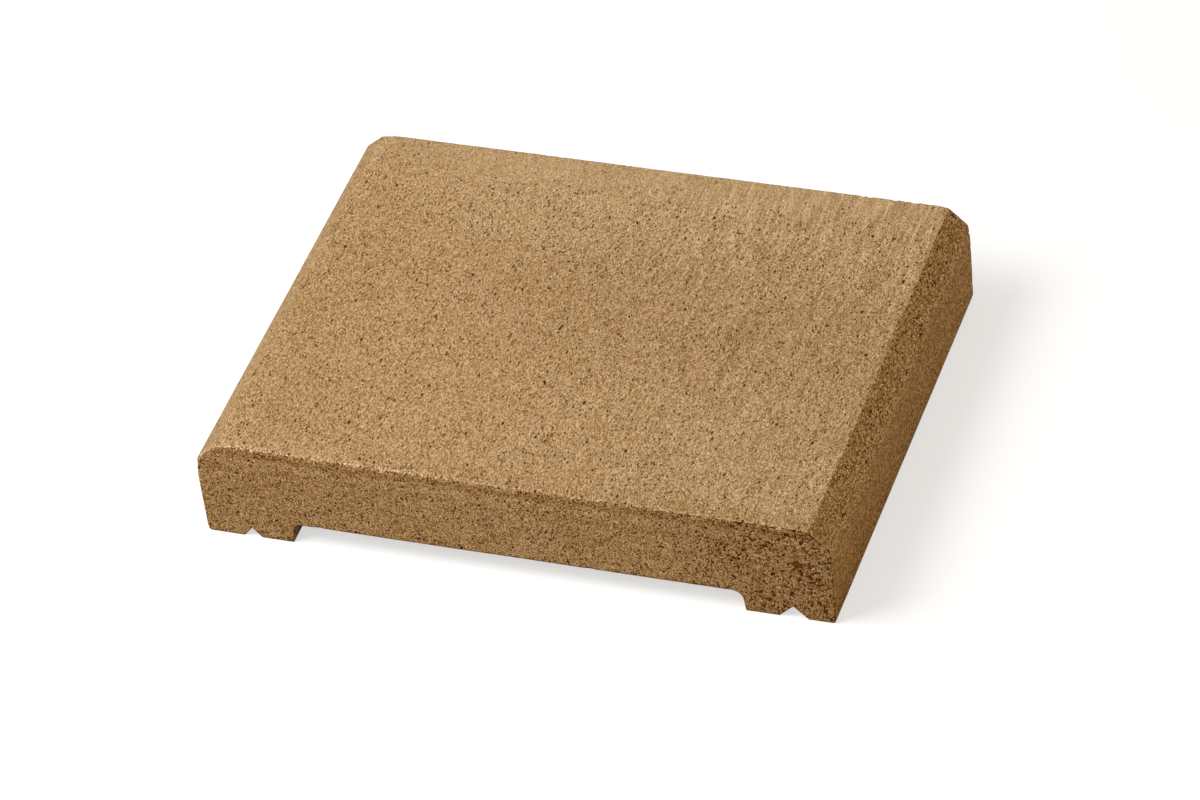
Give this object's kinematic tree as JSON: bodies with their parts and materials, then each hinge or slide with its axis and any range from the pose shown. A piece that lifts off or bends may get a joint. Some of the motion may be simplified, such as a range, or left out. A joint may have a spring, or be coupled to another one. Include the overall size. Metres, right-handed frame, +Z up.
{
  "type": "fence wall coping",
  "caption": "Flat concrete coping for a garden wall, with sloped long edges, an underside trough that sits over the wall head and drip grooves under the overhangs.",
  "frame": {"origin": "middle of the underside, level with the feet", "axes": "+X across the wall, +Y along the wall, +Z up towards the weathering face"},
  "size_m": [0.3, 0.23, 0.053],
  "materials": {
    "coping": "rough semi-dry cast concrete, tan, with open pores, light grains and dark pits"
  },
  "bodies": {
    "root": {"coping": "coping"}
  },
  "joints": []
}
